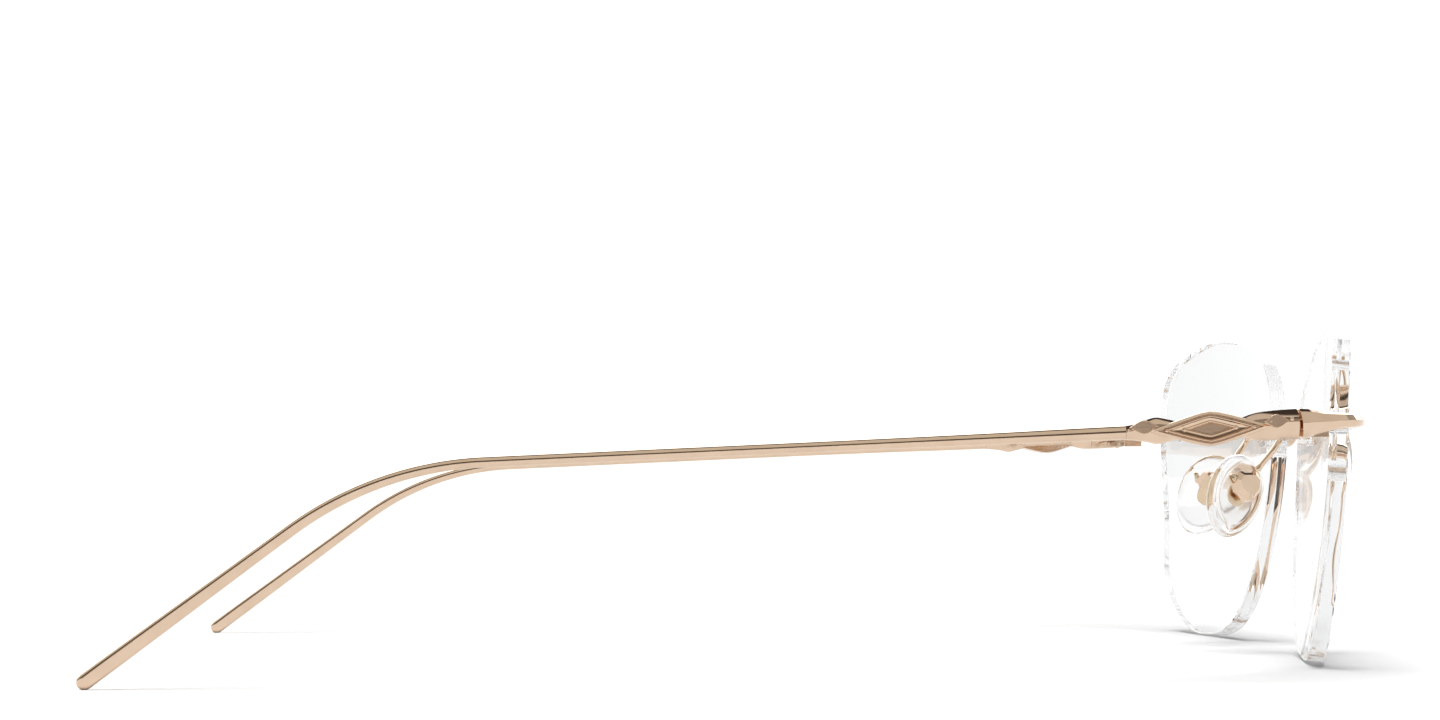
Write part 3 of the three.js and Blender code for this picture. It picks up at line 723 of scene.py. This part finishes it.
def endpiece_shape():
    """A tapering bar from the hinge round to its plate on the lens, with its pins."""
    path = spaced([
        Vector((TEMPLE_X, HINGE_PIN.y - HINGE_BUTT_GAP, HINGE_PIN.z + 0.12)),
        Vector((67.5, 5.9, 27.4)),
        Vector((66.3, 3.1, 27.55)),
        Vector((63.4, 1.5, 27.55)),
        temple_mount @ Vector((4.6, plate_middle - 0.12, -0.05)),
        temple_mount @ Vector((0, plate_middle, 0)),
        temple_mount @ Vector((-3.4, plate_middle, 0)),
    ], 110)
    length, end_reach = 22, 0.65
    # Rows of (share of the way, half width, half height).
    table = [
        (0, 1.42, 1.6), (0.03, 1.4, 1.56), (0.08, 1.22, 1.28), (0.15, 1.0, 1.0),
        (0.3, 0.8, 0.76), (0.5, 0.6, 0.7), (0.7, PLATE_HALF_THICKNESS, 0.7),
        (0.96, PLATE_HALF_THICKNESS, 0.68), (1, 0.4, 0.66),
    ]

    def section(share):
        w, h = read_table(table, share)
        drawn = rounded_end(max(share, 0.5), length, end_reach)
        return endpiece_section(w * max(drawn, 0.4), h * drawn)

    return together(swept(path, section), *lens_pins(temple_mount))


# ---------------------------------------------------------------------------------------------
# Temple: cast ornament and bent wire, in the temple frame
# ---------------------------------------------------------------------------------------------

def sleeve_section(out, top, bottom):
    """A cast bar's section: a flat outer facet above its middle line, bevels and a round back."""
    inner = 0.95 * out
    return [
        (out, 0), (out, 0.3 * top), (0.98 * out, 0.5 * top), (0.6 * out, 0.8 * top),
        (0.1 * out, top), (-0.5 * inner, 0.93 * top), (-0.9 * inner, 0.6 * top), (-inner, 0),
        (-0.9 * inner, -0.6 * bottom), (-0.5 * inner, -0.93 * bottom), (0.05 * out, -bottom),
        (0.5 * out, -0.86 * bottom), (0.82 * out, -0.5 * bottom), (0.96 * out, -0.18 * bottom),
    ]


def sleeve_shape():
    """The cast sleeve under the lozenges, from the hinge to the wire."""
    # Rows of (distance from the hinge, reach outwards, reach upwards, reach downwards).
    table = [
        (HINGE_BUTT_GAP, 1.42, 1.72, 1.5), (1.6, 1.36, 1.7, 1.5), (3.0, 1.12, 1.64, 1.5),
        (4.2, 0.84, 1.54, 1.46), (5.2, 0.74, 1.34, 1.3), (6.4, 0.7, 1.0, 1.0),
        (9.4, 0.7, 0.9, 0.9), (12.6, 0.7, 0.9, 0.92), (14.2, 0.74, 1.24, 1.18),
        (15.35, 0.82, 1.48, 1.38), (16.5, 0.86, 1.26, 1.12), (17.7, 0.8, 0.86, 0.92),
        (ORNAMENT_LENGTH, 0.74, 0.76, 0.8),
    ]
    length = ORNAMENT_LENGTH - HINGE_BUTT_GAP
    steps = 140
    rings = []
    for step in range(steps + 1):
        back = HINGE_BUTT_GAP + length * step / steps
        point = Vector((0, back, 0))
        outline = sleeve_section(*read_table(table, back))
        rings.append(ring_at(point, OUTWARDS, UPWARDS, outline))
    return loft(rings)


def lozenge_ring(middle, height, half_length, half_height, out, corner):
    """A lozenge with slightly full sides; corner rounds its top and bottom vertex."""
    widest = (1 + corner ** 2) ** LOZENGE_FULLNESS
    tallest = widest - corner ** (2 * LOZENGE_FULLNESS)
    steps = 24
    ring = []
    for way in (1, -1):
        for k in range(steps):
            turn = math.pi * k / steps
            u = -math.cos(turn)
            rise = (widest - (u ** 2 + corner ** 2) ** LOZENGE_FULLNESS) / tallest
            ring.append(Vector((out, middle + way * u * half_length,
                                height + way * rise * half_height)))
    return ring


def lozenge_relief(middle, height, half_length, half_height, levels):
    """A raised lozenge, whose levels are (share of its size, distance outwards, corner)."""
    rings = [lozenge_ring(middle, height, half_length * share, half_height * share, out, corner)
             for share, out, corner in levels]
    return loft(rings)


def pearl(centre):
    """A small bead, the end stop of a lozenge's line."""
    rows = 12
    turns = [math.pi * (k + 0.5) / rows for k in range(rows)]
    bead = lathe([(PEARL_RADIUS * math.sin(t), -PEARL_RADIUS * math.cos(t)) for t in turns], 16)
    return placed(bead, Matrix.Translation(centre))


def ornament_shape():
    """The sleeve with its large nested lozenge, a small one at each end, and the beads."""
    # Levels of (share of the lozenge's size, distance outwards, roundness of its corners).
    big = [
        (0.90, -0.5, 0.12), (0.97, 0.2, 0.12), (1.0, 0.92, 0.12), (0.985, 1.05, 0.11),
        (0.86, 1.25, 0.08), (0.84, 1.25, 0.08), (0.81, 0.98, 0.06), (0.77, 0.98, 0.06),
        (0.74, 1.24, 0.05), (0.71, 1.3, 0.04), (0.68, 1.27, 0.04), (0.63, 1.06, 0.03),
        (0.49, 1.04, 0.03), (0.455, 1.22, 0.02), (0.42, 1.27, 0.02), (0.385, 1.23, 0.02),
        (0.345, 0.98, 0.02), (0.31, 0.98, 0.02), (0.285, 1.09, 0.02), (0.03, 1.09, 0.02),
    ]
    small = [
        (0.9, 0.3, 0.3), (1.0, 0.88, 0.3), (0.97, 1.0, 0.3), (0.92, 1.04, 0.3),
        (0.88, 0.97, 0.3), (0.03, 0.97, 0.3),
    ]
    front = [(share, out + FRONT_LOZENGE_LIFT, corner) for share, out, corner in small]
    # Beads at (distance from the hinge, distance upwards, distance outwards).
    beads = [(3.2, 0.5, 1.24), (0.95, 0.65, 1.44), (15.9, 0.15, 1.08), (18.4, 0.12, 0.88)]
    for share, out in ((0.7, 1.16), (0.41, 1.14)):
        beads.append((LOZENGE_MIDDLE - share * LOZENGE_HALF_LENGTH, 0, out))
        beads.append((LOZENGE_MIDDLE + share * LOZENGE_HALF_LENGTH, 0, out))
    return placed(together(
        sleeve_shape(),
        lozenge_relief(LOZENGE_MIDDLE, 0, LOZENGE_HALF_LENGTH, LOZENGE_HALF_HEIGHT, big),
        lozenge_relief(REAR_LOZENGE_MIDDLE, SMALL_LOZENGE_UP, REAR_LOZENGE_HALF_LENGTH,
                       SMALL_LOZENGE_HALF_HEIGHT, small),
        lozenge_relief(FRONT_LOZENGE_MIDDLE, SMALL_LOZENGE_UP, FRONT_LOZENGE_HALF_LENGTH,
                       SMALL_LOZENGE_HALF_HEIGHT, front),
        *[pearl(Vector((out, back, up))) for back, up, out in beads],
    ), temple_frame)


turn_angle = math.radians(TEMPLE_TAIL_SLOPE - TEMPLE_RUN_SLOPE)
bend_tangent = BEND_RADIUS * math.tan(turn_angle / 2)
bend_start = TEMPLE_CORNER - bend_tangent
bend_length = BEND_RADIUS * turn_angle
tail_length = (TEMPLE_REACH - TEMPLE_CORNER) / math.cos(turn_angle) - bend_tangent
wire_end = bend_start + bend_length + tail_length


def wire_line(distance):
    """The point and the downward slope of the wire, at a distance along it from the hinge."""
    turned = min(max((distance - bend_start) / bend_length, 0), 1) * turn_angle
    run = min(distance, bend_start)
    tail = max(distance - bend_start - bend_length, 0)
    back = run + BEND_RADIUS * math.sin(turned) + tail * math.cos(turned)
    down = BEND_RADIUS * (1 - math.cos(turned)) + tail * math.sin(turned)
    return Vector((0, back, -down)), turned


def wire_shape():
    """The bent wire: round in front, tall and flat-sided behind the ear, with a rounded tip."""
    start = ORNAMENT_LENGTH + WIRE_GAP
    # Rows of (distance from the hinge, half width, half height, squareness).
    table = [
        (start, 0.72, 0.76, 2.0), (start + 16, 0.6, 0.63, 2.0), (start + 34, 0.56, 0.575, 2.0),
        (bend_start, 0.56, 0.575, 2.1), (bend_start + bend_length, 0.54, 0.66, 2.8),
        (wire_end - 4, 0.47, 0.86, 3.6), (wire_end, 0.455, 0.88, 3.2),
    ]
    steps, tip_steps = 260, 14
    tip_start = wire_end - WIRE_TIP
    body = [start + (tip_start - start) * k / steps for k in range(steps)]
    tip = [tip_start + WIRE_TIP * math.sin(math.pi / 2 * k / tip_steps)
           for k in range(tip_steps + 1)]
    rings = []
    for distance in body + tip:
        point, slope = wire_line(distance)
        up = Vector((0, math.sin(slope), math.cos(slope)))
        left = min((wire_end - distance) / WIRE_TIP, 1)
        drawn = max(math.sqrt(1 - (1 - left) ** 2), 0.06)
        w, h, power = read_table(table, distance)
        outline = oval(w * max(drawn, 0.3), h * drawn, power, 36)
        draft = TAIL_DRAFT * slope / turn_angle
        outline = [(a * (1 + draft * b / h), b) for a, b in outline]
        rings.append(ring_at(point, OUTWARDS, up, outline))
    return resting(placed(loft(rings), temple_frame))


# ---------------------------------------------------------------------------------------------
# Screws and nose pads
# ---------------------------------------------------------------------------------------------

def screw_shape(low, head_low, radius, head_radius, head_height):
    """A screw with a softly domed head and a chamfered end."""
    top = head_low + head_height
    return lathe([
        (radius * 0.6, low), (radius, low + 0.15), (radius, head_low),
        (head_radius * 0.94, head_low), (head_radius, head_low + 0.06), (head_radius, top - 0.16),
        (head_radius * 0.93, top - 0.07), (head_radius * 0.75, top - 0.02),
        (head_radius * 0.4, top), (0.04, top),
    ])


def screw_slot(top, head_radius):
    """A cutter for the driver slot, wider and higher than the head."""
    half = SCREW_SLOT_HALF_WIDTH
    x = head_radius * 1.4
    ring = [(-x, -half), (x, -half), (x, half), (-x, half)]
    heights = (top - SCREW_SLOT_DEPTH, top + 0.5)
    return loft([[Vector((a, b, z)) for a, b in ring] for z in heights])


def hinge_screw():
    """The hinge's screw and the cutter for its driver slot."""
    low = -HINGE_HALF_HEIGHT - HINGE_SCREW_STAND_OUT
    head_low = HINGE_HALF_HEIGHT + HINGE_SCREW_HEAD_GAP
    turn = Matrix.Rotation(math.radians(HINGE_SCREW_TURN), 4, "Z")
    place = Matrix.Translation(HINGE_PIN) @ turn
    screw = screw_shape(low, head_low, HINGE_SCREW_RADIUS, HINGE_SCREW_HEAD,
                        HINGE_SCREW_HEAD_HEIGHT)
    slot = screw_slot(head_low + HINGE_SCREW_HEAD_HEIGHT, HINGE_SCREW_HEAD)
    return placed(screw, place), placed(slot, place)


def pad_screw():
    """The pad's screw and the cutter for its driver slot."""
    place = pad_screw_axis @ Matrix.Rotation(math.radians(PAD_SCREW_TURN), 4, "Z")
    screw = screw_shape(PAD_SCREW_LOW, PAD_SCREW_HEAD_LOW, PAD_SCREW_RADIUS, PAD_SCREW_HEAD,
                        PAD_SCREW_HEAD_HEIGHT)
    slot = screw_slot(PAD_SCREW_HEAD_LOW + PAD_SCREW_HEAD_HEIGHT, PAD_SCREW_HEAD)
    return placed(screw, place), placed(slot, place)


def pad_box_shape():
    """A shield-shaped cup: flat sides, and an outer face with broad bevels to a flat middle."""
    outline = [(-2.05, 0.75), (-1.25, 1.65), (1.25, 1.65), (2.05, 0.75), (1.7, -0.85),
               (0.45, -1.98), (-0.45, -1.98), (-1.7, -0.85)]
    back = PAD_BACK + PAD_BOX_GAP
    # Levels of (distance outwards, share of the outline's size).
    levels = [(0, 1.0), (0.95, 1.0), (PAD_BOX_DEPTH - 0.02, 0.68)]
    rings = [[Vector((back + out, PAD_BOX_Y + y * share, PAD_BOX_Z + z * share))
              for y, z in outline] for out, share in levels]
    return placed(loft(rings), pad_frame)


def pad_box_hollow():
    """The slot that the pad's shank rocks in, open towards the pad and at the top, and the bore of
    its screw."""
    half = SHANK_HALF + SHANK_PLAY
    near, far = PAD_BOX_Y - half, PAD_BOX_Y + half
    low, high = PAD_SCREW_Z - PAD_BOX_SLOT_HALF_HEIGHT, PAD_SCREW_Z + PAD_BOX_SLOT_HALF_HEIGHT
    corners = [(near, low), (far, low), (far, high), (near, high)]
    slot = loft([[Vector((x, y, z)) for y, z in corners] for x in (0, PAD_SCREW_X + 0.4)])
    bore_radius, bore_reach = PAD_SCREW_RADIUS + 0.06, 4
    bore = lathe([(bore_radius, -bore_reach), (bore_radius, bore_reach)])
    return together(placed(slot, pad_frame), placed(bore, pad_screw_axis))


def pad_core_shape():
    """The sealed plate with its shank, and the round eye that the screw goes through."""
    # Levels of (distance outwards, share of the plate's size).
    levels = [(-0.25, 0.9), (-0.2, 0.97), (-0.1, 1), (0.1, 1), (0.2, 0.97), (0.25, 0.9)]
    plate_up = 0.6
    plate_outline = oval(1.28, 1.88, 2.6, 48)
    plate = [[Vector((out, y * share, z * share + plate_up)) for y, z in plate_outline]
             for out, share in levels]
    shank_outline = oval(SHANK_HALF, 0.6, 5, 40)
    shank = [[Vector((out, PAD_BOX_Y + y, PAD_SCREW_Z + z)) for y, z in shank_outline]
             for out in (0.1, 0.9, 1.6, PAD_SCREW_X)]
    eye_radius, eye_chamfer = 0.58, 0.06
    eye = lathe([
        (0.5, -SHANK_HALF), (eye_radius, -SHANK_HALF + eye_chamfer),
        (eye_radius, SHANK_HALF - eye_chamfer), (0.5, SHANK_HALF),
    ])
    return together(placed(loft(plate), pad_frame @ pad_lean), placed(loft(shank), pad_frame),
                    placed(eye, pad_screw_axis))


def nose_pad_shape():
    """An egg-shaped soft pad, wider above, with a gently domed face towards the nose."""
    # Levels of (distance outwards, share of the outline's size).
    levels = [
        (PAD_FACE, 0.1), (PAD_FACE + 0.02, 0.45), (PAD_FACE + 0.08, 0.66), (PAD_FACE + 0.2, 0.8),
        (PAD_FACE + 0.4, 0.91), (PAD_FACE + 0.65, 0.97), (PAD_FACE + 0.95, 0.998), (0.1, 0.995),
        (0.4, 0.965), (0.65, 0.92), (0.82, 0.86), (0.94, 0.78), (PAD_BACK, 0.66), (PAD_BACK, 0.1),
    ]
    sides, fuller_above = 72, 0.1
    rings = []
    for out, share in levels:
        ring = []
        for k in range(sides):
            angle = 2 * math.pi * k / sides
            half_width = PAD_WIDTH / 2 * (1 + fuller_above * math.sin(angle))
            ring.append(Vector((out, math.cos(angle) * half_width * share,
                                math.sin(angle) * PAD_LENGTH / 2 * share)))
        rings.append(ring)
    return placed(loft(rings), pad_frame @ pad_lean)


# ---------------------------------------------------------------------------------------------
# Assembly
# ---------------------------------------------------------------------------------------------

add_pair("lens", lens_shape(), LENS, cutter=lens_holes())
bridge = make_mesh("bridge_look", bridge_shape())
settle(bridge, "bridge", "front", *METAL)
add_eased_pair("nose_bushing", BUSHING, edge=0.04)
add_eased_pair("temple_bushing", BUSHING, edge=0.04)
add_pair("endpiece", endpiece_shape(), METAL, edge=0.08)
add_eased_pair("front_hinge_leaf", METAL)
hinge_screw_shape, hinge_screw_slot = hinge_screw()
add_pair("hinge_screw", hinge_screw_shape, SCREW, cutter=hinge_screw_slot, edge=0.03)
add_pair("pad_arm", pad_arm_shape(), METAL)
add_pair("pad_box", pad_box_shape(), METAL, cutter=pad_box_hollow(), edge=0.07)
pad_screw_shape, pad_screw_slot = pad_screw()
add_pair("pad_screw", pad_screw_shape, SCREW, cutter=pad_screw_slot, edge=0.03)

add_eased_pair("temple_hinge_leaf", METAL, body="temple")
add_pair("temple_ornament", ornament_shape(), METAL, body="temple", edge=0.05)
add_pair("temple_wire", wire_shape(), METAL, body="temple")

add_pair("pad_core", pad_core_shape(), SCREW, body="pad")
add_pair("nose_pad", nose_pad_shape(), SILICONE, body="pad")


# ---------------------------------------------------------------------------------------------
# Floor, light and camera
# ---------------------------------------------------------------------------------------------

def pale_floor():
    """A wide plain floor with a faint, even mottle."""
    half = FLOOR_HALF_METRES
    mesh = bpy.data.meshes.new("pale_floor")
    mesh.from_pydata([(-half, -half, 0), (half, -half, 0), (half, half, 0), (-half, half, 0)], [],
                     [(0, 1, 2, 3)])
    floor = bpy.data.objects.new("pale_floor", mesh)
    bpy.context.scene.collection.objects.link(floor)
    nodes = Nodes("pale_floor")
    nodes.fixed(Roughness=0.9, Specular_IOR_Level=0.2)
    nodes.wire(nodes.tint(nodes.noise(30), (0.9, 0.9, 0.9), (0.92, 0.92, 0.92)),
               nodes.shader.inputs["Base Color"])
    mesh.materials.append(nodes.material)


def room_shader(tree, stops, end_stops):
    """A background whose colour follows the angle about Y, from the horizon at -X at 0 degrees
    over the top to the horizon at +X at 180. Towards both ends of Y it gives way to colours that
    follow the height alone."""
    links = tree.links
    end_starts, end_is_full = 0.6, 0.9

    def math_node(operation, first, second):
        node = tree.nodes.new("ShaderNodeMath")
        node.operation = operation
        for socket, value in zip(node.inputs, (first, second)):
            if isinstance(value, (int, float)):
                socket.default_value = value
            else:
                links.new(value, socket)
        return node.outputs[0]

    def ramp_over(value, colours, whole):
        ramp = tree.nodes.new("ShaderNodeValToRGB")
        links.new(math_node("DIVIDE", value, whole), ramp.inputs["Fac"])
        elements = ramp.color_ramp.elements
        for k, (degrees, colour) in enumerate(colours):
            position = math.radians(degrees) / whole
            element = elements[k] if k < 2 else elements.new(position)
            element.position = position
            element.color = (*colour, 1)
        return ramp.outputs["Color"]

    place = tree.nodes.new("ShaderNodeTexCoord")
    parts = tree.nodes.new("ShaderNodeSeparateXYZ")
    links.new(place.outputs["Generated"], parts.inputs[0])
    x, y, z = parts.outputs
    around = math_node("ARCTAN2", z, math_node("MULTIPLY", x, -1.0))
    height = math_node("ARCSINE", z, 0.0)
    endwise = tree.nodes.new("ShaderNodeMapRange")
    endwise.interpolation_type = "SMOOTHSTEP"
    endwise.inputs["From Min"].default_value = end_starts
    endwise.inputs["From Max"].default_value = end_is_full
    links.new(math_node("ABSOLUTE", y, 0.0), endwise.inputs["Value"])
    # The mix node's colour sockets are its inputs 6 and 7 and its output 2.
    mix = tree.nodes.new("ShaderNodeMix")
    mix.data_type = "RGBA"
    links.new(endwise.outputs["Result"], mix.inputs[0])
    links.new(ramp_over(around, stops, math.pi), mix.inputs[6])
    links.new(ramp_over(height, end_stops, math.pi / 2), mix.inputs[7])
    background = tree.nodes.new("ShaderNodeBackground")
    links.new(mix.outputs[2], background.inputs["Color"])
    return background.outputs[0]


def plain_shader(tree, level):
    """An even grey background."""
    background = tree.nodes.new("ShaderNodeBackground")
    background.inputs["Color"].default_value = (level, level, level, 1)
    return background.outputs[0]


def studio_room():
    """A beige room at -X, a bright strip over the glasses and a white backdrop at +X. Only
    reflections show it: the camera sees plain white behind the floor, and clear pieces show an
    even, nearly white surround, as in a light tent."""
    world = bpy.data.worlds.new("studio")
    bpy.context.scene.world = world
    world.use_nodes = True
    tree = world.node_tree
    strip = (STRIP, STRIP, STRIP)
    backdrop = (BACKDROP, BACKDROP, BACKDROP)
    room = room_shader(tree, [
        (0, (0.42, 0.39, 0.36)), (6, (0.34, 0.31, 0.28)), (10, (0.07, 0.058, 0.05)),
        (24, (0.08, 0.066, 0.057)), (31, (0.74, 0.72, 0.66)), (94, (0.74, 0.72, 0.68)),
        (101, (0.06, 0.05, 0.045)), (130, (0.05, 0.045, 0.04)),
        (137, strip), (157, strip), (164, backdrop), (180, backdrop),
    ], [
        (0, (0.45, 0.42, 0.39)), (8, (0.30, 0.27, 0.25)), (20, (0.80, 0.77, 0.72)),
        (45, (1.3, 1.3, 1.28)), (90, (1.3, 1.3, 1.28)),
    ])
    path = tree.nodes.new("ShaderNodeLightPath")
    output = tree.nodes["World Output"].inputs["Surface"]
    for seen_by, level in (("Is Transmission Ray", CLEAR_SURROUND), ("Is Camera Ray", BACKDROP)):
        mix = tree.nodes.new("ShaderNodeMixShader")
        tree.links.new(path.outputs[seen_by], mix.inputs[0])
        tree.links.new(room, mix.inputs[1])
        tree.links.new(plain_shader(tree, level), mix.inputs[2])
        room = mix.outputs[0]
    tree.links.new(room, output)
    # The lamp alone lights the floor.
    world.cycles_visibility.diffuse = False


def overhead_light():
    """A soft round light straight overhead, too far off to fall away across the floor."""
    data = bpy.data.lights.new("key", "SUN")
    data.energy = KEY_STRENGTH
    data.angle = math.radians(KEY_ANGLE)
    lamp = bpy.data.objects.new("key", data)
    bpy.context.scene.collection.objects.link(lamp)
    lamp.visible_glossy = False
    lamp.visible_transmission = False


def camera():
    """A long lens, low on the wearer's right, looking across the glasses."""
    yaw = math.radians(CAMERA_YAW)
    pitch = math.radians(CAMERA_PITCH)
    roll = math.radians(CAMERA_ROLL)
    forward = Vector((math.cos(pitch) * math.cos(yaw), math.cos(pitch) * math.sin(yaw),
                      -math.sin(pitch)))
    right = forward.cross(UPWARDS).normalized()
    up = right.cross(forward)
    turned_right = right * math.cos(roll) + up * math.sin(roll)
    turned_up = up * math.cos(roll) - right * math.sin(roll)
    data = bpy.data.cameras.new("camera")
    data.sensor_width = CAMERA_SENSOR
    data.lens = CAMERA_LENS
    data.clip_start = CAMERA_CLIP_METRES
    seat = bpy.data.objects.new("camera", data)
    bpy.context.scene.collection.objects.link(seat)
    turn = Matrix((turned_right, turned_up, -forward)).transposed().to_4x4()
    seat.matrix_world = Matrix.Translation(to_frame @ CAMERA_PLACE) @ turn
    bpy.context.scene.camera = seat


pale_floor()
studio_room()
overhead_light()
camera()
bpy.context.scene.view_settings.view_transform = "Standard"
# Light needs many bounces to come out of the clear lens edges.
bpy.context.scene.cycles.max_bounces = LIGHT_BOUNCES
bpy.context.scene.cycles.glossy_bounces = LIGHT_BOUNCES
bpy.context.scene.cycles.transmission_bounces = LIGHT_BOUNCES
